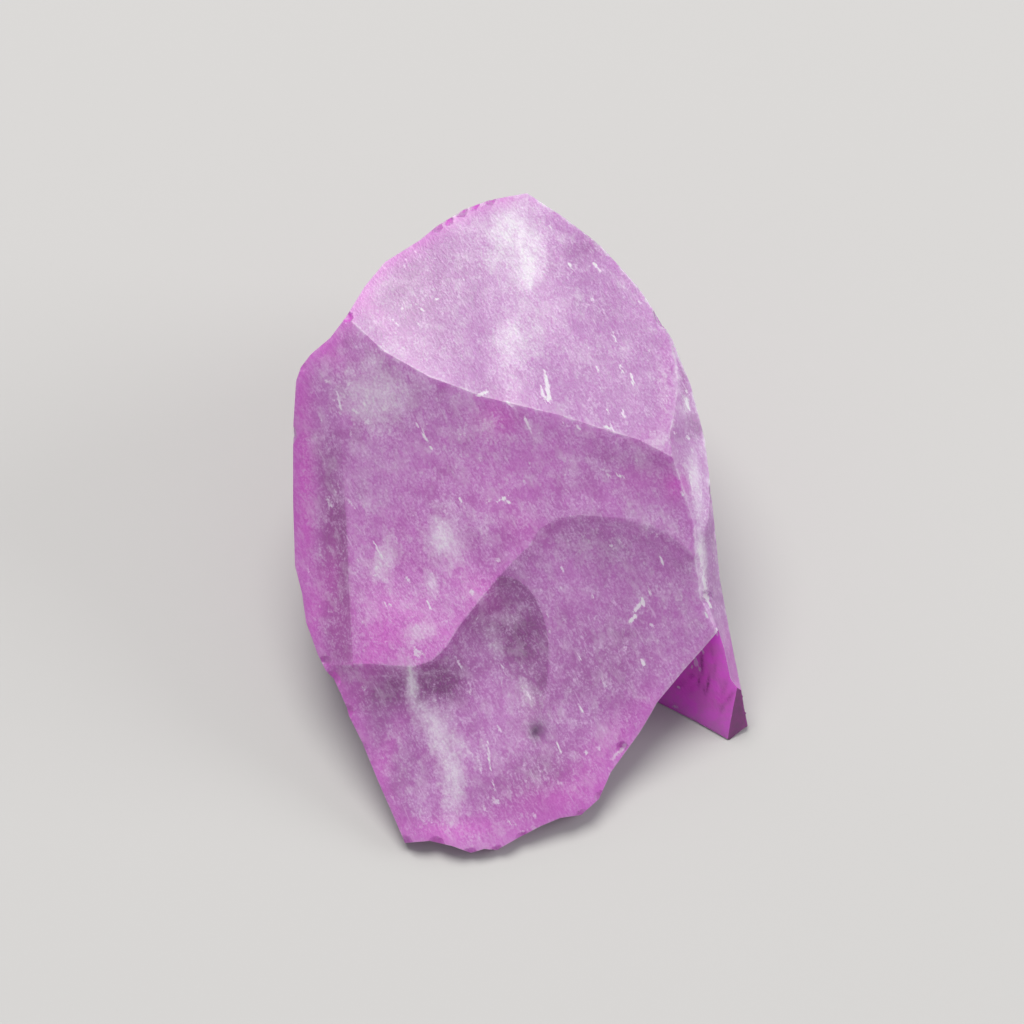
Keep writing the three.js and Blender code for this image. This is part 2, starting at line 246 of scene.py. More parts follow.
def front(u, v, sizes):
    """Height of the front over the grid, and a number for the zone each point is in.

    Right of its crease the strip is one band: it leaves the front by a falling exponential and then falls
    in a straight slope, and the outer strip falls in a steeper one.
    """
    w, zone = main_front(u, v, sizes)
    crease = along(STRIP, v, 1)
    strip = u - crease
    inside = np.maximum(strip, 0.0)
    low = along(STRIP_FOOT, v, 1)
    lip = (main_front(crease, v, sizes)[0] - low) * np.exp(-inside / STRIP_RUN)
    band = low + lip - STRIP_SLOPE * inside
    w = np.where(strip > 0, band, w)
    zone = np.where(strip > 0, IN_STRIP, zone)
    outer = u - along(OUTER, v, 1)
    w = w - OUTER_SLOPE * np.maximum(outer, 0.0)
    zone = np.where(outer > 0, IN_OUTER, zone)
    return w, zone


def unevenness(u, v, seed):
    """Gentle waves of the broken faces: a sum of sines with seeded directions and lengths, in mm."""
    rng = np.random.default_rng(seed)
    total = np.zeros(np.shape(u))
    for length, height in ((8.0, 0.030), (5.0, 0.018), (3.2, 0.009), (2.0, 0.004), (1.2, 0.002)):
        for _ in range(3):
            turn, phase = rng.uniform(0, 2 * math.pi, 2)
            pull = rng.uniform(0.8, 1.25) * 2 * math.pi / length
            total += height * np.sin(pull * (u * math.cos(turn) + v * math.sin(turn)) + phase)
    return total


def ribs(u, v):
    """Curved ribs of the fracture under the ledge: waves that follow its distance and die away."""
    drop = under_ledge(u, v)
    inside = np.maximum(drop, 0.0)
    waves = np.sin(2 * math.pi * inside / (0.55 + 0.06 * inside))
    return 0.009 * waves * np.exp(-inside / 2.4) * (drop > 0)


def chips(u, v):
    """Small bowls bitten out of the rim."""
    total = np.zeros(np.shape(u))
    for x, y, radius, depth in CHIPS:
        (cu, cv), = squares((x, y))
        inside = 1.0 - ((u - cu) ** 2 + (v - cv) ** 2) / (radius * GRID) ** 2
        total += depth * np.maximum(inside, 0.0) ** 0.8
    return total


def fine_front(u, v, sizes):
    """Front with its waves, ribs and chips."""
    w, _ = front(u, v, sizes)
    return w + unevenness(u, v, 7) + ribs(u, v) - chips(u, v)


ANGLES = np.arctan2(OUTLINE[:, 1] - MIDDLE[1], OUTLINE[:, 0] - MIDDLE[0])
ROUND = OUTLINE[np.argsort(ANGLES)]
ANGLES = np.sort(ANGLES)


def reach(angle):
    """Distance from the middle to the outline in each direction, along its straight pieces."""
    i = np.searchsorted(ANGLES, angle) % len(ANGLES)
    b, a = ROUND[i], ROUND[i - 1]
    edge = b - a
    across = (a[:, 0] - MIDDLE[0]) * edge[:, 1] - (a[:, 1] - MIDDLE[1]) * edge[:, 0]
    return across / (np.cos(angle) * edge[:, 1] - np.sin(angle) * edge[:, 0])


def zone_at(p, sizes):
    """Zone of the front at each point, 0 outside the outline."""
    x, y = p[:, 0] - MIDDLE[0], p[:, 1] - MIDDLE[1]
    inside = np.hypot(x, y) < reach(np.arctan2(y, x))
    return np.where(inside, front(p[:, 0], p[:, 1], sizes)[1], 0)


def lattice(cell):
    """Equal triangles over the plan: points in rows, every other row moved half a cell."""
    rise = cell * math.sqrt(3.0) / 2
    columns, rows = math.ceil(28.0 / cell), math.ceil(39.0 / rise)
    row, column = np.meshgrid(np.arange(rows + 1), np.arange(columns + 1), indexing="ij")
    u, v = -14 + (column + (row % 2) / 2) * cell, -19.8 + row * rise
    points = np.column_stack([u.ravel(), v.ravel()])
    row, column = row[:-1, :-1].ravel(), column[:-1, :-1].ravel()
    a = row * (columns + 1) + column
    b, c, d = a + 1, a + columns + 1, a + columns + 2
    odd = row % 2 == 1
    first = np.where(odd[:, None], np.column_stack([a, b, d]), np.column_stack([a, b, c]))
    second = np.where(odd[:, None], np.column_stack([a, d, c]), np.column_stack([b, d, c]))
    return points, np.concatenate([first, second])


def settle(points, triangles, cell, sizes):
    """Moves a point to each corner of the outline, and the nearer end of an edge to the crease it crosses.

    Where the zone changes along an edge is found by halving it 14 times.
    """
    locked = np.zeros(len(points), bool)
    for corner in OUTLINE:
        away = np.hypot(*(points - corner).T) + locked * 99.0
        nearest = np.argmin(away)
        if away[nearest] < 0.75 * cell:
            points[nearest] = corner
            locked[nearest] = True
    zones = zone_at(points, sizes)
    edges = np.concatenate([triangles[:, [0, 1]], triangles[:, [1, 2]], triangles[:, [2, 0]]])
    edges = edges[(edges[:, 0] < edges[:, 1]) & (zones[edges[:, 0]] != zones[edges[:, 1]])]
    edges = edges[~locked[edges].any(axis=1)]
    a, b = points[edges[:, 0]], points[edges[:, 1]]
    low, high = np.zeros(len(edges)), np.ones(len(edges))
    for _ in range(14):
        t = (low + high) / 2
        same = zone_at(a + (b - a) * t[:, None], sizes) == zones[edges[:, 0]]
        low, high = np.where(same, t, low), np.where(same, high, t)
    vertex = np.where(low < 0.5, edges[:, 0], edges[:, 1])
    share = np.where(low < 0.5, low, 1 - low)
    order = np.argsort(-share)
    points[vertex[order]] = (a + (b - a) * low[:, None])[order]
    return points


def on_grid(points, w):
    """Where points of the plan lie in space, seen from the eye, at height w."""
    scale = (EYE - w) / EYE
    return np.column_stack([points[:, 0] * scale, points[:, 1] * scale, w])


def to_ground(p):
    """Measuring frame to ground frame, mm."""
    y, z = p[:, 1] * SIN - p[:, 2] * COS, p[:, 1] * COS + p[:, 2] * SIN + MIDDLE_HEIGHT
    return np.column_stack([p[:, 0], y, z])


def to_grid(p):
    """Ground frame to measuring frame, mm."""
    z = p[:, 2] - MIDDLE_HEIGHT
    return np.column_stack([p[:, 0], p[:, 1] * SIN + z * COS, -p[:, 1] * COS + z * SIN])


def rim_of(faces):
    """Edges that one triangle alone has, in the direction that it runs along them."""
    count = faces.max() + 1
    edges = np.concatenate([faces[:, [0, 1]], faces[:, [1, 2]], faces[:, [2, 0]]])
    codes = edges[:, 0] * count + edges[:, 1]
    return edges[~np.isin(codes, edges[:, 1] * count + edges[:, 0])]


def blank(cell, sizes):
    """Front, sides and floor of the uncut stone: the lattice inside the outline, its rim carried down."""
    points, triangles = lattice(cell)
    points = settle(points, triangles, cell, sizes)
    kept = triangles[zone_at(points[triangles].mean(axis=1), sizes) > 0]
    used, flat = np.unique(kept, return_inverse=True)
    points, kept = points[used], flat.reshape(kept.shape)
    count = len(points)
    rim = rim_of(kept)
    if len(np.unique(rim[:, 0])) != len(rim):
        raise RuntimeError("the rim of the front touches itself")
    vertices = [on_grid(points, fine_front(points[:, 0], points[:, 1], sizes))]
    faces = [kept]
    place = np.zeros(count, int)
    place[rim[:, 0]] = np.arange(len(rim))
    top = points[rim[:, 0]]
    height = vertices[0][rim[:, 0], 2]
    above, start = rim[:, 0], count
    for share in SIDE_STEPS:
        w = height + (FLOOR - height) * share
        vertices.append(on_grid(MIDDLE + (top - MIDDLE) * (1 - (1 - SIDE_TAPER) * share), w))
        below = start + np.arange(len(rim))
        a, b = above, above[place[rim[:, 1]]]
        c, d = below, below[place[rim[:, 1]]]
        faces += [np.column_stack([b, a, c]), np.column_stack([b, c, d])]
        above, start = below, start + len(rim)
    vertices.append(on_grid(MIDDLE[None], np.array([FLOOR])))
    faces.append(np.column_stack([above[place[rim[:, 1]]], above, np.full(len(rim), start)]))
    return to_ground(np.concatenate(vertices)), np.concatenate(faces)


def seen_on_front(square, sizes):
    """Ground-frame point of the smooth front that is seen at one square."""
    p = squares(square)
    return to_ground(on_grid(p, front(p[:, 0], p[:, 1], sizes)[0]))[0]


def seen_on_ground(square):
    """Ground-frame point of the ground that is seen at one square."""
    p = squares(square)
    w = np.zeros(1)
    for _ in range(8):
        w = (-MIDDLE_HEIGHT - p[:, 1] * (EYE - w) / EYE * COS) / SIN
    return to_ground(on_grid(p, w))[0]


def seen_on_face(square, at, out):
    """Ground-frame point of a flat face that is seen at one square."""
    eye, far = to_ground(np.vstack([[[0.0, 0.0, EYE]], np.append(squares(square)[0], 0.0)[None]]))
    return eye + (far - eye) * ((at - eye) @ out) / ((far - eye) @ out)


def look_of(a, b, c, towards):
    """Direction that a face through three points looks in, on the side of towards."""
    n = np.cross(b - a, c - a)
    n = n / np.linalg.norm(n)
    return n if n @ np.array(towards, float) > 0 else -n


def new_mesh(name, vertices, faces):
    """Mesh from arrays of corners and triangles."""
    mesh = bpy.data.meshes.new(name)
    mesh.vertices.add(len(vertices))
    mesh.vertices.foreach_set("co", np.asarray(vertices, np.float32).ravel())
    mesh.loops.add(faces.size)
    mesh.loops.foreach_set("vertex_index", faces.ravel().astype(np.int32))
    mesh.polygons.add(len(faces))
    mesh.polygons.foreach_set("loop_start", np.arange(0, faces.size, 3, dtype=np.int32))
    mesh.update(calc_edges=True)
    return mesh


def new_object(mesh):
    """Object for a mesh, linked to the scene, at the origin."""
    thing = bpy.data.objects.new(mesh.name, mesh)
    bpy.context.scene.collection.objects.link(thing)
    return thing


def cutter(build):
    """Object of what a build holds, which is then freed."""
    mesh = bpy.data.meshes.new("cutter")
    build.to_mesh(mesh)
    build.free()
    return new_object(mesh)


def beyond(at, out, side=90):
    """Block of everything beyond a square face that has a point at its middle and looks one way, mm."""
    turn = Vector((0, 0, 1)).rotation_difference(Vector(out).normalized()).to_matrix().to_4x4()
    place = Matrix.Translation(Vector(at)) @ turn @ Matrix.Translation((0, 0, 30))
    build = bmesh.new()
    bmesh.ops.create_cube(build, size=1.0, matrix=place @ Matrix.Diagonal((side, side, 60, 1)))
    return cutter(build)


def broken_beyond(at, out, seed, waves=1.0, fine=(18.0, 0.36)):
    """Block of everything beyond a broken face, mm: a plane with gentle waves and the rings of the blow.

    The height over the plane is the unevenness of the front, doubled, and a sine of the distance from where
    the blow fell, which dies away. fine is how far from the middle the face is divided, and in what steps.
    """
    n = np.array(out) / np.linalg.norm(out)
    a = np.cross((0, 0, 1), n)
    a = a / np.linalg.norm(a)
    b = np.cross(n, a)
    far, step = fine
    line = np.concatenate([[-60, -40, -26], np.arange(-far, far + step / 2, step), [26, 40, 60]])
    s, t = (side.ravel() for side in np.meshgrid(line, line, indexing="ij"))
    rng = np.random.default_rng(seed)
    blow = rng.uniform(-9, 9, 2)
    away = np.hypot(s - blow[0], t - blow[1])
    rings = 0.028 * np.sin(2 * math.pi * away / 1.5) * np.exp(-away / 8)
    height = waves * (2.0 * unevenness(s, t, seed) + rings)
    surface = np.array(at) + s[:, None] * a + t[:, None] * b + height[:, None] * n
    count = len(line)
    i = (np.arange(count - 1)[:, None] * count + np.arange(count - 1)).ravel()
    faces = np.concatenate([np.column_stack([i, i + 1, i + count]),
                            np.column_stack([i + count, i + 1, i + count + 1])])
    rim = rim_of(faces)
    apex = np.full(len(rim), len(surface))
    faces = np.concatenate([faces, np.column_stack([rim[:, 1], rim[:, 0], apex])])
    return new_object(new_mesh("cutter", np.vstack([surface, np.array(at) + n * 100]), faces))


def numbers(items, field, wide, kind=np.float32):
    """One field of a mesh's corners, edges or faces as an array of rows."""
    out = np.empty(len(items) * wide, kind)
    items.foreach_get(field, out)
    return out.reshape(-1, wide)


def worn_edges(stone, sizes):
    """Balls that nick the sharp edges between hidden faces, mm, at seeded places a few mm apart."""
    mesh = stone.data
    edges = numbers(mesh.loops, "edge_index", 1, np.int32)[:, 0]
    sides = numbers(mesh.polygons, "loop_total", 1, np.int32)[:, 0]
    owner = np.repeat(np.arange(len(sides)), sides)
    pairs = owner[np.argsort(edges, kind="stable")].reshape(-1, 2)
    looks = numbers(mesh.polygons, "normal", 3)
    q = to_grid(numbers(mesh.polygons, "center", 3).astype(float))
    hidden = np.abs(q[:, 2] - fine_front(*seen(q), sizes)) > ON_FRONT
    middle = coordinates(mesh)[numbers(mesh.edges, "vertices", 2, np.int32)].mean(axis=1)
    bend = (looks[pairs[:, 0]] * looks[pairs[:, 1]]).sum(axis=1)
    fit = (bend < WORN_BEND) & hidden[pairs].all(axis=1) & (middle[:, 2] > 0.6) & (middle[:, 1] > -4.0)
    rng = np.random.default_rng(21)
    chosen = []
    for spot in rng.permutation(np.flatnonzero(fit))[:600]:
        if all(np.linalg.norm(middle[spot] - middle[other]) > WORN_SPACE for other in chosen):
            chosen.append(spot)
    build = bmesh.new()
    for spot in chosen:
        radius, depth = rng.uniform(0.45, 1.1), rng.uniform(0.08, 0.20)
        out = looks[pairs[spot]].sum(axis=0)
        place = Matrix.Translation(Vector(middle[spot] + out / np.linalg.norm(out) * (radius - depth)))
        bmesh.ops.create_icosphere(build, subdivisions=3, radius=radius, matrix=place)
    return cutter(build)


def round_cutter(at, radius):
    """Ball that leaves a shallow hollow."""
    build = bmesh.new()
    bmesh.ops.create_icosphere(build, subdivisions=6, radius=radius, matrix=Matrix.Translation(Vector(at)))
    return cutter(build)


def baked(thing):
    """Replaces an object's mesh with what its modifiers make of it."""
    graph = bpy.context.evaluated_depsgraph_get()
    mesh = bpy.data.meshes.new_from_object(thing.evaluated_get(graph))
    thing.modifiers.clear()
    old, thing.data = thing.data, mesh
    bpy.data.meshes.remove(old)


def combine(thing, others, way):
    """Cuts, joins or crosses an object with others, which are then removed."""
    for other in others:
        step = thing.modifiers.new("cut", "BOOLEAN")
        step.operation = way
        step.solver = "MANIFOLD"
        step.object = other
    baked(thing)
    for other in others:
        mesh = other.data
        bpy.data.objects.remove(other)
        bpy.data.meshes.remove(mesh)


def notch_cutter(sizes):
    """Wedge of the notch: beyond both undercut faces and beyond the finely broken face of the leg."""
    top, inner = seen_on_front((718, 630), sizes), seen_on_front((657, 702), sizes)
    foot = seen_on_front((607, 801), sizes)

    def shifted(point, by):
        return to_ground(to_grid(point[None]) + np.array(by))[0]

    first = look_of(top, inner, shifted(inner, (-1.2, 1.2, -4)), (1, -1, 0))
    second = look_of(inner, foot, shifted(inner, (-1.6, 0.6, -4)), (1, -1, 0))
    wedge = beyond(inner, first)
    leg = broken_beyond(*leg_face(sizes), 41, 0.3, (7.0, 0.07))
    combine(wedge, [beyond(inner, second), leg], "INTERSECT")
    return wedge


def tip_face(sizes):
    """Middle of the small face that ends the leg, and the way it looks."""
    high, low = seen_on_face((737, 691), *leg_face(sizes)), seen_on_ground((727, 741))
    right = seen_on_ground((750, 731))
    return (high + low) / 2, look_of(high, low, right, (1, -1, 0))


def coordinates(mesh):
    """Corners of a mesh as an array."""
    return numbers(mesh.vertices, "co", 3).astype(float)


def set_attribute(mesh, name, values, where="POINT"):
    """Stores one number for each corner or each face of a mesh."""
    layer = mesh.attributes.get(name) or mesh.attributes.new(name, "FLOAT", where)
    layer.data.foreach_set("value", np.asarray(values, np.float32))


# Markings of the surface, with painted light and shading among them, soft ovals read in squares: middle,
# half sizes, turn and strength
# Milky frosted patches, and a painted sheen of the lamp down the front
HAZE_AND_SHEEN = (
    (508, 224, 24, 30, 10, 0.95), (528, 268, 18, 34, -14, 0.85), (492, 262, 18, 20, 0, 0.45),
    (510, 344, 20, 28, 6, 0.70), (538, 328, 18, 22, 0, 0.40), (444, 540, 13, 22, 20, 0.75),
    (383, 560, 12, 34, -28, 0.60), (431, 585, 7, 15, 10, 0.65), (420, 632, 20, 14, 6, 0.65),
    (411, 684, 6, 24, 0, 0.85), (436, 730, 20, 36, 12, 0.80), (452, 790, 14, 46, -8, 0.70),
    (497, 640, 14, 26, 24, 0.40), (527, 690, 8, 22, 10, 0.45), (560, 640, 26, 40, 10, 0.10),
    (640, 640, 22, 40, 16, 0.10), (600, 350, 40, 40, 0, 0.18), (400, 330, 40, 26, 24, 0.06),
    (482, 745, 5, 26, -8, 0.40), (370, 395, 34, 26, 0, 0.42), (694, 478, 8, 36, 6, 0.80),
    (702, 560, 6, 40, 4, 0.90), (660, 600, 26, 26, 0, 0.30), (430, 560, 40, 60, 0, 0.20),
    (664, 390, 8, 50, 0, 0.35), (654, 442, 12, 14, 0, 0.35), (385, 352, 34, 14, 34, 0.40),
    (390, 402, 56, 36, 26, 0.42), (612, 466, 54, 20, 12, 0.26), (687, 404, 4, 11, 8, 0.75),
    (470, 520, 36, 30, 0, 0.32), (480, 430, 36, 24, 0, 0.38), (590, 548, 44, 20, 0, 0.42),
    (440, 215, 30, 12, -34, 0.45),
)
# Painted light coming through, pinker where little stone lies under the front
PAINTED_GLOW = (
    (400, 630, 50, 34, 0, 0.75), (478, 590, 34, 16, -50, 0.55), (400, 560, 60, 60, 0, 0.30),
    (666, 390, 9, 50, 0, 0.30), (650, 440, 18, 18, 0, 0.20), (640, 480, 30, 16, 14, 0.35),
    (497, 420, 22, 18, 0, 0.45), (304, 480, 12, 90, 2, 0.95), (334, 580, 10, 76, 2, 0.35),
    (312, 620, 12, 50, -14, 0.60), (360, 690, 14, 60, -18, 0.35), (560, 800, 90, 20, 16, 0.60),
    (450, 832, 60, 14, 0, 0.80), (610, 740, 16, 50, -42, 0.55), (676, 486, 12, 14, 0, 0.90),
    (365, 300, 8, 60, 38, 0.30), (325, 350, 12, 30, 40, 0.55), (495, 418, 22, 16, 0, 0.35),
    (380, 770, 10, 50, -22, 0.65), (505, 470, 70, 40, 0, 0.20), (540, 785, 56, 30, 10, 0.15),
    (524, 526, 30, 22, -30, 0.25),
)
# Painted shading: duller where faces turn from the light, and where much stone lies under the front
PAINTED_SHADE = (
    (390, 690, 40, 20, 8, 0.75), (448, 682, 24, 20, 0, 0.85), (500, 620, 26, 44, 30, 0.60),
    (520, 645, 22, 34, -10, 0.35), (575, 538, 50, 14, -6, 0.08), (334, 560, 12, 90, 2, 0.90),
    (470, 410, 50, 12, 18, 0.05), (590, 240, 44, 16, 42, 0.30), (640, 470, 44, 18, 18, 0.12),
    (540, 700, 16, 40, 20, 0.25), (380, 730, 12, 30, -16, 0.30), (600, 660, 60, 60, 0, 0.42),
    (497, 420, 20, 16, 0, 0.35), (676, 486, 12, 14, 0, 0.35), (410, 295, 60, 44, 30, 0.34),
    (545, 785, 56, 34, 10, 0.80), (520, 530, 30, 22, -30, 0.40), (684, 384, 4, 34, 4, 0.60),
    (697, 424, 9, 15, 0, 0.55), (390, 790, 16, 40, -16, 0.40),
)
# Dark grain sealed in the stone
SEALED = (
    (537, 729, 9, 9, 0, 1.2), (534, 733, 4, 5, 0, 0.6),
)
# Dark strands inside the leg, seen through its clean face
STRANDS = (
    (702, 664, 1.6, 11, 2, 0.9), (708, 684, 1.8, 9, -8, 1.0), (699, 681, 1.6, 6, 0, 0.8),
    (692, 676, 3, 3, 20, 0.8), (704, 690, 1.5, 5, 10, 0.6), (730, 697, 2.5, 7, -35, 0.8),
    (722, 708, 2, 5, -20, 0.5), (715, 668, 1.4, 10, -6, 0.4), (681, 684, 7, 5, 30, 0.5),
    (712, 652, 1.5, 8, 8, 0.4), (690, 690, 10, 4, 35, 0.25), (724, 690, 3, 14, -14, 0.35),
)
# White scratches and nicks: two ends and strength
NICKS = (
    (545, 372, 550, 402, 1.0), (540, 386, 546, 402, 0.7), (641, 597, 644, 606, 1.0),
    (634, 612, 640, 604, 1.0), (630, 622, 637, 614, 0.9), (641, 659, 645, 665, 1.0),
    (497, 502, 508, 496, 0.6), (484, 504, 492, 500, 0.5), (506, 500, 510, 504, 0.6),
    (421, 428, 428, 444, 0.6), (416, 422, 419, 428, 0.6), (430, 446, 433, 450, 0.5),
    (606, 408, 610, 416, 0.5), (622, 408, 625, 420, 0.6), (610, 424, 616, 436, 0.6),
    (593, 262, 601, 272, 0.5), (569, 262, 573, 272, 0.7), (548, 225, 552, 229, 0.5),
    (612, 330, 616, 342, 0.5), (630, 372, 634, 386, 0.6), (596, 366, 598, 372, 0.5),
    (620, 364, 623, 374, 0.5), (476, 396, 488, 392, 0.7), (507, 402, 514, 407, 0.8),
    (524, 416, 532, 434, 0.6), (575, 424, 580, 430, 0.6), (560, 420, 570, 427, 0.4),
    (604, 426, 612, 430, 0.7), (616, 474, 626, 478, 0.6), (607, 473, 612, 478, 0.5),
    (673, 430, 676, 434, 0.5), (680, 490, 684, 496, 0.6), (690, 470, 693, 492, 0.5),
    (459, 497, 462, 503, 0.6), (437, 520, 447, 524, 0.4), (352, 408, 357, 414, 0.7),
    (337, 392, 341, 410, 0.6), (362, 402, 366, 406, 0.4), (327, 497, 331, 508, 0.5),
    (393, 536, 402, 541, 0.3), (486, 735, 491, 772, 0.5), (477, 752, 482, 776, 0.4),
    (492, 778, 496, 794, 0.3), (527, 690, 531, 702, 0.5), (600, 672, 606, 688, 0.5),
    (620, 752, 626, 744, 1.0), (612, 760, 618, 752, 0.8), (608, 766, 610, 776, 0.4),
    (700, 545, 702, 570, 0.7), (702, 570, 707, 594, 0.7), (707, 600, 711, 608, 0.8),
    (704, 612, 708, 618, 0.6), (716, 628, 718, 636, 0.5), (577, 652, 583, 664, 0.4),
    (560, 566, 564, 572, 0.4), (590, 590, 594, 600, 0.4), (545, 612, 549, 620, 0.3),
    (660, 556, 664, 566, 0.5), (648, 586, 652, 596, 0.4), (578, 704, 584, 712, 0.5),
    (556, 742, 562, 754, 0.4), (500, 662, 508, 676, 0.4), (455, 656, 462, 668, 0.4),
    (410, 668, 412, 690, 0.6), (382, 600, 390, 612, 0.3), (372, 540, 384, 560, 0.4),
    (427, 600, 431, 610, 0.5), (437, 226, 446, 221, 0.9), (452, 216, 462, 211, 1.0),
    (466, 210, 474, 207, 1.0), (480, 205, 486, 203, 0.8), (346, 318, 350, 320, 0.7),
    (695, 658, 697, 666, 1.0), (691, 666, 693, 668, 0.6), (677, 687, 680, 688, 0.6),
    (672, 706, 678, 708, 0.5), (699, 667, 700, 671, 0.7), (704, 594, 708, 600, 1.2),
    (686, 398, 689, 412, 0.5), (702, 648, 704, 655, 0.4), (520, 832, 528, 830, 0.5),
    (505, 818, 512, 826, 0.4), (420, 308, 424, 312, 0.4), (434, 300, 440, 298, 0.5),
)


def ovals(marks, u, v):
    """Sum of soft ovals, each a bell of its squared distance."""
    total = np.zeros(np.shape(u))
    for x, y, wide, tall, turn, strength in marks:
        (cu, cv), = squares((x, y))
        a = math.radians(turn)
        s = (u - cu) * math.cos(a) + (v - cv) * math.sin(a)
        t = -(u - cu) * math.sin(a) + (v - cv) * math.cos(a)
        total += strength * np.exp(-(s / (wide * GRID)) ** 2 - (t / (tall * GRID)) ** 2)
    return total


def nicks_at(u, v):
    """White scratches: each a bell of its squared distance, long one way and a line's width the other."""
    total = np.zeros(np.shape(u))
    for x1, y1, x2, y2, strength in NICKS:
        a, b = squares((x1, y1), (x2, y2))
        middle, half = (a + b) / 2, (b - a) / 2
        length = np.hypot(*half)
        s = ((u - middle[0]) * half[0] + (v - middle[1]) * half[1]) / length
        t = ((v - middle[1]) * half[0] - (u - middle[0]) * half[1]) / length
        bell = np.exp(-(s / (1.1 * length)) ** 4 - (t / (0.05 + 0.05 * strength)) ** 2)
        total = np.maximum(total, (0.2 + strength) * bell)
    return total


def seen(p):
    """Where points of the measuring frame are seen on the grid."""
    scale = EYE / (EYE - p[:, 2])
    return p[:, 0] * scale, p[:, 1] * scale


def leg_face(sizes):
    """A point on the clean face of the leg and the way it looks."""
    top = seen_on_front((718, 630), sizes)
    return top, look_of(top, seen_on_ground((731, 742)), seen_on_ground((657, 704)), (0, 0, 1))


def mark_surface(mesh, shift, sizes):
    """Works out the numbers that the material reads, from where each corner and face lies.

    Bands of painted shadow and painted light follow the creases and fade as bells or exponentials of the
    distance from them.
    """
    u, v = seen(to_grid(coordinates(mesh) / MM - shift))
    zone = front(u, v, sizes)[1]
    for name, marks in (("haze_and_sheen", HAZE_AND_SHEEN), ("sealed", SEALED), ("strand", STRANDS)):
        set_attribute(mesh, name, ovals(marks, u, v))
    set_attribute(mesh, "nick", nicks_at(u, v))
    # Painted shading just past a crease that turns from the light: under the ledge, in the scar and in the
    # groove; and painted light just above the ledge, where little stone lies under it
    drop, scar, groove = under_ledge(u, v), inside_oval(u, v, *SCAR), along(GROOVE, v, 1) - u
    left = fade(u, 2.5, -0.5)
    past_ledge = (drop > 0) * np.exp(-np.maximum(drop, 0) / 1.3) * (0.35 + 0.65 * left)
    in_scar = ((drop > 0) & (scar > 0)) * np.exp(-np.maximum(scar, 0) / 0.9) * fade(v, -14.0, -6.5)
    in_groove = (groove > 0) * np.exp(-(np.maximum(groove, 0) / 1.25) ** 2)
    in_groove = in_groove * fade(v, 3.0, -2.0) * fade(v, -9.2, -7.8)
    dull_and_painted_shade = 0.40 * past_ledge + 0.40 * in_scar + 0.60 * in_groove
    set_attribute(mesh, "painted_shade", ovals(PAINTED_SHADE, u, v) + dull_and_painted_shade)
    painted_ledge_glow = 0.45 * (drop <= 0) * np.exp(np.minimum(drop, 0) / 0.9) * left * fade(u, -10.0, -8.5)
    set_attribute(mesh, "painted_glow", ovals(PAINTED_GLOW, u, v) + painted_ledge_glow)
    # Painted light coming through along the rim, where the edge is slight, except at the upper right
    rim = distance_to(np.vstack([OUTLINE, OUTLINE[:1]]), u, v)
    high_right = fade(u, -1.0, 1.5) * fade(v, -8.0, -5.0)
    set_attribute(mesh, "painted_rim_glow", np.exp(-(rim / 0.60) ** 2) * (1 - high_right))
    deep_rim = np.maximum(fade(v, 9.0, 10.5), fade(u, -8.4, -9.0) * fade(v, -8.0, -9.0))
    set_attribute(mesh, "chipped", np.clip(chips(u, v) / 0.12, 0, 1) * deep_rim)
    # Painted light and shading between faces: the crown and the strips take more of the pale lilac, set for
    # how the light falls on them
    pale = np.select([zone == CROWN, zone == IN_STRIP, zone == IN_OUTER], [0.75, 0.75, 0.95], 0.30)
    set_attribute(mesh, "painted_face_tone", pale)
    # Edges that wear has made pale, with a painted highlight where light would catch them: along the ridge,
    # the crease of the strip and the upper right rim
    crease = np.minimum(distance_to(RIDGE, u, v), distance_to(STRIP, u, v))
    wear_and_highlight = np.maximum(np.exp(-(crease / 0.07) ** 2), 1.4 * np.exp(-(rim / 0.09) ** 2) * high_right)
    set_attribute(mesh, "wear_and_highlight", wear_and_highlight)
    p = numbers(mesh.polygons, "center", 3).astype(float) / MM - shift
    looks = numbers(mesh.polygons, "normal", 3)
    q = to_grid(p)

    def on_plane(at, out, off, turned, right_of):
        """Faces near a plane, that look its way and lie right of a line."""
        return (np.abs((p - at) @ out) < off) & (looks @ out > turned) & (q[:, 0] > right_of)

    on_leg = on_plane(*leg_face(sizes), 0.08, 0.95, 7.0)
    on_tip = on_plane(*tip_face(sizes), 0.02, 0.98, 11.0)
    on_front = (np.abs(q[:, 2] - fine_front(*seen(q), sizes)) < ON_FRONT) & ~on_leg & ~on_tip
    set_attribute(mesh, "face", on_front, "FACE")
    set_attribute(mesh, "leg", on_leg, "FACE")
    set_attribute(mesh, "tip", on_tip, "FACE")


# Materials

MULTIPLY = {"operation": "MULTIPLY"}
PLUS = {"operation": "ADD"}
GREATEST = {"operation": "MAXIMUM"}
SHARE = {"operation": "MULTIPLY", "use_clamp": True}
COLOURS = {"data_type": "RGBA"}


def add(tree, kind, *inputs, out=None, **settings):
    """Adds a node and returns one of its outputs, the first in use where none is named.

    Inputs fill its sockets in order. Settings are its properties, or its sockets by name, with _ for a
    space. A socket is given a value or the output of another node.
    """
    node = tree.nodes.new("ShaderNode" + kind)
    given = []
    for name, value in settings.items():
        if hasattr(node, name):
            setattr(node, name, value)
        else:
            given.append((node.inputs[name.replace("_", " ")], value))
    given += zip([socket for socket in node.inputs if socket.enabled], inputs)
    for socket, value in given:
        if isinstance(value, bpy.types.NodeSocket):
            tree.links.new(value, socket)
        else:
            socket.default_value = value
    return node.outputs[out] if out else next((socket for socket in node.outputs if socket.enabled), None)


def new_material(name):
    """Empty node material."""
    material = bpy.data.materials.new(name)
    material.use_nodes = True
    material.node_tree.nodes.clear()
    return material, material.node_tree


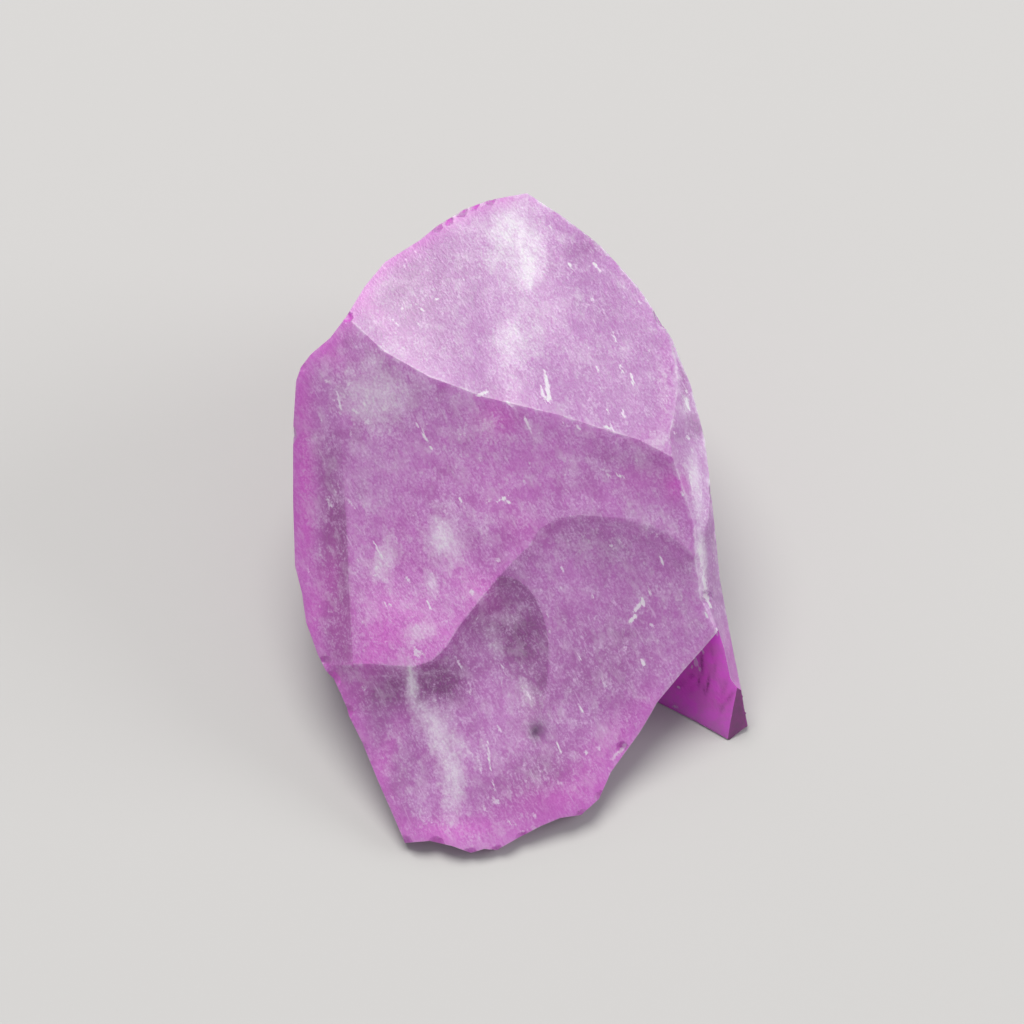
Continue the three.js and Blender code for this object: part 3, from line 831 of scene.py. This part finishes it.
def zircon_material(colours, shift):
    """Zircon crystal broken by hand: high index, magenta body colour, faces frosted by fine fracture.

    The frosting scatters light, so the stone looks milky from outside and glows through. Light is also
    painted into the colour: shading past creases and on faces turned away, light at edges and where little
    stone lies under the front, a sheen in the milky patches, highlights on creases, and a brighter leg. The
    face of the leg broke cleanly, so it is smooth and its colour is deep. The patterns read the stone's own
    coordinates in mm, turned so that the first two lie in the front.
    """
    material, tree = new_material("zircon_frosted_fracture")
    node = partial(add, tree)
    tint = {name: lin(code) for name, code in colours.items()}
    tilt = SLOPE - math.pi / 2
    move = -(Matrix.Rotation(tilt, 3, "X") @ (Vector(shift) + Vector((0, 0, MIDDLE_HEIGHT))))
    place = node("TexCoord", out="Object")
    grid = node("Mapping", place, tuple(move), (tilt, 0, 0), (1 / MM, 1 / MM, 1 / MM))
    blow = node("Mapping", grid, (0, 0, 0), (0, 0, math.radians(BLOW_TURN)))

    # Marks of the surface, those of the front stop where it ends
    face, leg, tip, painted_face_tone, nick, strand = (
        node("Attribute", attribute_name=name, out="Fac")
        for name in ("face", "leg", "tip", "painted_face_tone", "nick", "strand"))
    haze_and_sheen, painted_rim_glow, painted_glow, painted_shade, sealed, wear_and_highlight, chipped = (
        node("Math", node("Attribute", attribute_name=name, out="Fac"), face, **MULTIPLY)
        for name in ("haze_and_sheen", "painted_rim_glow", "painted_glow", "painted_shade", "sealed", "wear_and_highlight", "chipped"))
    nick = node("Math", nick, node("Math", face, leg, **GREATEST), **MULTIPLY)

    # Clouds of colour 3.6 mm wide, mottling of 0.9 mm and grains of frost of 0.12 mm
    clouds = node("TexNoise", grid, 0.28, 2.0, 0.62)
    mottle = node("TexNoise", grid, 1.1, 4.0, 0.68)
    grain = node("TexNoise", grid, 8.0, 1.0, 0.65)
    # Patterns drawn out along the blow: wisps 1.5 mm long, flecks 0.3 mm long and 0.12 mm wide, lines 2 mm
    # long, strokes 0.4 mm long and specks 0.8 mm long. Real scratches are finer than 0.05 mm and wouldn't
    # show, so lines and strokes are drawn 0.15 and 0.09 mm wide.
    wisps, flecks, lines, strokes, specks = (
        node("TexNoise", node("VectorMath", blow, stretch, **MULTIPLY), 1.0, detail, rough)
        for stretch, detail, rough in (
            ((1.1, 0.65, 0.9), 4.0, 0.72), ((8.0, 3.2, 5.0), 2.0, 0.6), ((6.5, 0.5, 3.0), 1.0, 0.5),
            ((11.0, 2.6, 6.0), 1.0, 0.5), ((2.6, 1.3, 1.8), 0.0, 0.5)))
    fine = node("Math", node("Math", grain, 0.5, **MULTIPLY), node("Math", flecks, 0.5, **MULTIPLY), **PLUS)

    # Painted shading and painted light coming through: duller where shaded, with greyer clouds, and pinker
    # where light would pass
    painted_shade_and_clouds = node("Math", painted_shade, node("MapRange", clouds, 0.48, 0.70, 0.0, 0.25), **PLUS)
    dull_and_painted_shade = node("Math", painted_shade_and_clouds, node("MapRange", mottle, 0.3, 0.6, 1.15, 0.75), **SHARE)
    painted_glow_share = node("Math", painted_glow, node("MapRange", clouds, 0.3, 0.6, 1.0, 0.8), **SHARE)

    # Fracture frost in patches, and scratches
    patchy = node("MapRange", mottle, 0.38, 0.62, 0.25, 1.0)
    frost = node("Math", node("MapRange", fine, 0.48, 0.66, 0.0, 0.85), patchy, **MULTIPLY)
    crisp = node("Math", node("MapRange", strokes, 0.61, 0.72, 0.0, 0.75), patchy, **MULTIPLY)
    scratch = node("Math", node("MapRange", lines, 0.68, 0.78, 0.0, 0.60), crisp, **GREATEST)
    struck = node("Math", frost, scratch, **GREATEST)
    pits = node("MapRange", fine, 0.50, 0.36, 0.0, 0.45)

    # Milky patches, with a painted sheen of the lamp in them: solid in their middles, feathery where they
    # fade. Hidden faces have veils instead.
    hidden = node("Math", 1.0, face, operation="SUBTRACT")
    veils = node("Math", node("MapRange", clouds, 0.52, 0.70, 0.0, 0.8), hidden, **MULTIPLY)
    cover = node("Math", node("Math", haze_and_sheen, veils, **PLUS), 1.15, **MULTIPLY)
    feather = node("Math", node("Math", wisps, 1.7, **MULTIPLY),
                  node("Math", fine, 0.5, **MULTIPLY), **PLUS)
    patches = node("MapRange", node("Math", cover, feather, **PLUS), 1.30, 2.25)
    milk_and_sheen = node("Math", patches, node("MapRange", fine, 0.35, 0.62, 0.72, 1.05), **SHARE)
    milk_and_sheen = node("Math", milk_and_sheen, node("MapRange", wisps, 0.50, 0.72, 0.0, 0.40), **GREATEST)

    # Nicks and specks: struck spots that show white, and creases pale from rubbing, with a painted
    # highlight along them
    torn = node("Math", node("Math", strokes, 1.5, **MULTIPLY), fine, **PLUS)
    ragged = node("MapRange", node("Math", nick, torn, **PLUS), 1.50, 1.90)
    white = node("Math", ragged, node("MapRange", nick, 0.05, 0.30), **MULTIPLY)
    specks = node("Math", specks, node("Math", grain, 0.25, **MULTIPLY), **PLUS)
    bruised_and_highlit = node("Math", white, node("MapRange", specks, 0.93, 1.00, 0.0, 0.75), **GREATEST)
    rubbed_and_highlit = node("Math", wear_and_highlight, node("MapRange", mottle, 0.45, 0.60, 0.05, 0.55), **MULTIPLY)
    bruised_and_highlit = node("Math", bruised_and_highlit, rubbed_and_highlit, **GREATEST)

    def layered(colour, *layers):
        """Colours laid over one another, each by its share."""
        for share, name in layers:
            colour = node("Mix", share, colour, tint[name], **COLOURS)
        return colour

    broken = layered(
        tint["deep"], (node("MapRange", clouds, 0.38, 0.62), "body"),
        (node("MapRange", mottle, 0.42, 0.68, 0.0, 0.75), "lilac"), (painted_face_tone, "pale"), (dull_and_painted_shade, "dull_and_painted_shade"),
        (painted_glow_share, "painted_glow"), (struck, "frost"), (pits, "deep"), (milk_and_sheen, "milk_and_sheen"), (bruised_and_highlit, "milk_and_sheen"),
        (node("Math", painted_rim_glow, 0.50, **MULTIPLY), "edge"),
        (node("Math", chipped, node("MapRange", mottle, 0.4, 0.6, 0.8, 0.0), **MULTIPLY), "leg"))
    # The leg broke cleanly: deep colour, made brighter as painted light coming through it, with dark
    # strands inside, and a darker face at its end
    inside = node("Math", strand, node("MapRange", fine, 0.35, 0.60, 1.0, 0.45), **SHARE)
    clean = layered(tint["leg"], (node("MapRange", mottle, 0.42, 0.60), "painted_glow"), (inside, "strand"),
                    (node("Math", white, 0.75, **MULTIPLY), "frost"))
    ended = layered(tint["tip"], (node("MapRange", mottle, 0.40, 0.60), "strand"))
    colour = node("Mix", leg, broken, clean, **COLOURS)
    colour = node("Mix", tip, colour, ended, **COLOURS)
    colour = layered(colour, (node("Math", sealed, 0.6, **SHARE), "sealed"))

    smooth = node("Math", node("Math", leg, tip, **GREATEST), 0.28, **MULTIPLY)
    rough = node("MapRange", flecks, 0.3, 0.7, 0.36, 0.50)
    rough = node("Math", rough, smooth, operation="SUBTRACT")
    bump = node("Bump", Strength=0.5, Distance=0.04 * MM, Height=flecks)
    shader = node("BsdfPrincipled", Base_Color=colour, Roughness=rough, Normal=bump, IOR=1.93,
                 Transmission_Weight=0.5, Specular_IOR_Level=0.2, Subsurface_Weight=0.7,
                 Subsurface_Radius=(1.0, 0.4, 0.95), Subsurface_Scale=2.2 * MM)
    depth = node("VolumeAbsorption", Color=tint["absorb"], Density=90.0)
    node("OutputMaterial", Surface=shader, Volume=depth)
    return material


def floor_material():
    """Matt studio paper, plain and pale."""
    material, tree = new_material("matt_studio_paper")
    shader = add(tree, "BsdfPrincipled", Base_Color=lin("#aeadaa"), Roughness=0.9)
    add(tree, "OutputMaterial", Surface=shader)
    return material


# Settings

class ZirconSizes(PropertyGroup):
    """Sizes of the stone that a maker would change"""
    cell: FloatProperty(
        name="Mesh cell", description="Side of a triangle of the front",
        default=0.000108, min=0.00005, precision=6, unit="LENGTH")
    ledge_run: FloatProperty(
        name="Ledge run", description="Length over which the step under the ledge levels off",
        default=0.0022, precision=5, unit="LENGTH")
    ridge_run: FloatProperty(
        name="Ridge run", description="Length over which the shoulder leaves the ridge",
        default=0.0030, precision=5, unit="LENGTH")
    scar_depth: FloatProperty(
        name="Scar depth", description="Depth of the flake scar under the ledge",
        default=0.00075, precision=5, unit="LENGTH")
    groove_depth: FloatProperty(
        name="Groove depth", description="Depth of the groove down the left side",
        default=0.0011, precision=5, unit="LENGTH")


class ZirconColours(PropertyGroup):
    """Colours of the stone, as sRGB hex"""
    deep: StringProperty(name="Deep", description="Body colour in its darker clouds", default="#bd5ab8")
    body: StringProperty(name="Body", description="Body colour of the crystal", default="#e48ce2")
    lilac: StringProperty(name="Lilac", description="Where frosting lightens the colour", default="#e0abe2")
    # Lilac painted on the crown and the strips for how the light falls on them
    pale: StringProperty(name="Pale", description="Body colour of the top faces", default="#c28cc7")
    # Colour of the painted shading, and of greyer clouds
    dull_and_painted_shade: StringProperty(name="Dull", description="Thick parts turned from the light", default="#8c4688")
    # Colour of the painted light coming through the stone
    painted_glow: StringProperty(name="Glow", description="Thin parts that light comes through", default="#ea68de")
    frost: StringProperty(name="Frost", description="Pale flecks and scratches", default="#edd0ef")
    # White of the milky patches, of the painted sheen and of the nicks
    milk_and_sheen: StringProperty(name="Milk", description="Milky patches and nicks", default="#f8f1fa")
    # Colour of the painted light along the rim
    edge: StringProperty(name="Edge", description="Thin edges", default="#dc58d2")
    # Deep magenta of the leg, made brighter as painted light coming through it
    leg: StringProperty(name="Leg", description="Clean face of the leg", default="#ff5cf2")
    tip: StringProperty(name="Tip", description="Small face that ends the leg", default="#8c1480")
    strand: StringProperty(name="Strand", description="Dark strands inside the leg", default="#7a1c72")
    sealed: StringProperty(name="Sealed grain", description="Dark grain in the stone", default="#5c2c60")
    absorb: StringProperty(name="Absorb", description="Colour that passes through", default="#e488e4")


class ZirconStudio(PropertyGroup):
    """Light and camera"""
    key: FloatProperty(
        name="Key light", description="Power of the soft light above", default=9.4, unit="POWER")
    fill: FloatProperty(
        name="Fill light", description="Power of the soft light at the side", default=3.0, unit="POWER")
    sky: FloatProperty(
        name="Sky", description="Strength of the even light all round", default=0.55)
    lens: FloatProperty(
        name="Lens", description="Focal length in mm on a 36 mm sensor", default=200.0, unit="CAMERA")


# Operators

class OBJECT_OT_zircon_stone(Operator):
    """Builds the stone, cuts its hidden faces and gives it its crystal finish"""
    bl_idname = "object.zircon_stone"
    bl_label = "Build the stone"

    def execute(self, context):
        given = context.scene.zircon_sizes
        sizes = {name: getattr(given, name) / MM for name in given.__annotations__}
        stone = new_object(new_mesh("zircon_surface", *blank(sizes["cell"], sizes)))
        rest, tip = beyond((0, 0, 0), (0, 0, -1)), beyond(*tip_face(sizes), 8)
        combine(stone, [rest, notch_cutter(sizes), tip], "DIFFERENCE")
        combine(stone, [broken_beyond(at, out, 30 + i) for i, (at, out) in enumerate(BACK)], "DIFFERENCE")
        combine(stone, [round_cutter(at, radius) for at, radius in FLAKES], "DIFFERENCE")
        combine(stone, [worn_edges(stone, sizes)], "DIFFERENCE")
        if not len(stone.data.vertices):
            raise RuntimeError("the cuts left nothing of the stone")
        p = coordinates(stone.data)
        low, high = (np.array(corner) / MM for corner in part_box("zircon"))
        shift = (low + high) / 2 - (p.min(axis=0) + p.max(axis=0)) / 2
        shift[2] = low[2] - p[:, 2].min()
        stone.data.vertices.foreach_set("co", ((p + shift) * MM).astype(np.float32).ravel())
        stone.data.update()
        mark_surface(stone.data, shift, sizes)
        stone.data.polygons.foreach_set("use_smooth", np.ones(len(stone.data.polygons), bool))
        stone.data.set_sharp_from_angle(angle=math.radians(SHARP_ANGLE))
        chosen = context.scene.zircon_colours
        colours = {name: getattr(chosen, name) for name in chosen.__annotations__}
        stone.data.materials.clear()
        stone.data.materials.append(zircon_material(colours, shift))
        context.scene["zircon_shift"] = [float(x) for x in shift]
        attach(stone, "root")
        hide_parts("zircon")
        return {"FINISHED"}


class OBJECT_OT_zircon_stage(Operator):
    """Adds the floor, the soft lights and the camera"""
    bl_idname = "object.zircon_stage"
    bl_label = "Build the stage"

    def execute(self, context):
        scene = context.scene
        studio = scene.zircon_studio
        mesh = bpy.data.meshes.new("floor")
        mesh.from_pydata([(-3, -3, 0), (3, -3, 0), (3, 3, 0), (-3, 3, 0)], [], [(0, 1, 2, 3)])
        mesh.materials.append(floor_material())
        new_object(mesh)
        shift = Vector(scene["zircon_shift"]) * MM
        target = shift + Vector((0, 0, MIDDLE_HEIGHT * MM))

        def soft_light(name, place, size, power, colour):
            light = bpy.data.lights.new(name, "AREA")
            light.shape = "DISK"
            light.size, light.energy, light.color = size, power, colour
            thing = bpy.data.objects.new(name, light)
            scene.collection.objects.link(thing)
            thing.location = place
            thing.rotation_euler = (target - thing.location).to_track_quat("-Z", "Y").to_euler()

        soft_light("key", Vector((-0.12, 0.27, 0.87)), 0.66, studio.key, (1.0, 0.98, 0.97))
        soft_light("fill", Vector((0.78, 0.06, 0.36)), 0.48, studio.fill, (0.97, 0.98, 1.0))
        world = bpy.data.worlds.new("soft sky")
        world.use_nodes = True
        world.node_tree.nodes["Background"].inputs[0].default_value = (0.93, 0.94, 1.0, 1.0)
        world.node_tree.nodes["Background"].inputs[1].default_value = studio.sky
        scene.world = world
        camera = bpy.data.cameras.new("camera")
        camera.lens = studio.lens
        camera.sensor_width = 36.0
        camera.clip_start = 0.01
        viewer = bpy.data.objects.new("camera", camera)
        scene.collection.objects.link(viewer)
        viewer.location = target + Vector((0, -COS, SIN)) * EYE * MM
        viewer.rotation_euler = (target - viewer.location).to_track_quat("-Z", "Y").to_euler()
        scene.camera = viewer
        scene.view_settings.view_transform = "Standard"
        scene.cycles.max_bounces = LIGHT_TURNS
        return {"FINISHED"}


class VIEW3D_PT_zircon(Panel):
    """Sizes, colours and steps of the rough zircon"""
    bl_label = "Rough zircon"
    bl_idname = "VIEW3D_PT_zircon"
    bl_space_type = "VIEW_3D"
    bl_region_type = "UI"
    bl_category = "Zircon"

    def draw(self, context):
        scene = context.scene
        for group in (scene.zircon_sizes, scene.zircon_colours, scene.zircon_studio):
            box = self.layout.box()
            for name in group.__annotations__:
                box.prop(group, name)
        for operator in (OBJECT_OT_zircon_stone, OBJECT_OT_zircon_stage):
            self.layout.operator(operator.bl_idname)


CLASSES = (ZirconSizes, ZirconColours, ZirconStudio, OBJECT_OT_zircon_stone, OBJECT_OT_zircon_stage,
           VIEW3D_PT_zircon)


def register():
    for item in CLASSES:
        bpy.utils.register_class(item)
    bpy.types.Scene.zircon_sizes = PointerProperty(type=ZirconSizes)
    bpy.types.Scene.zircon_colours = PointerProperty(type=ZirconColours)
    bpy.types.Scene.zircon_studio = PointerProperty(type=ZirconStudio)


def unregister():
    for name in ("zircon_sizes", "zircon_colours", "zircon_studio"):
        delattr(bpy.types.Scene, name)
    for item in reversed(CLASSES):
        bpy.utils.unregister_class(item)


def main():
    """Builds the stone and the stage."""
    register()
    bpy.ops.object.zircon_stone()
    bpy.ops.object.zircon_stage()


if __name__ == "__main__":
    main()
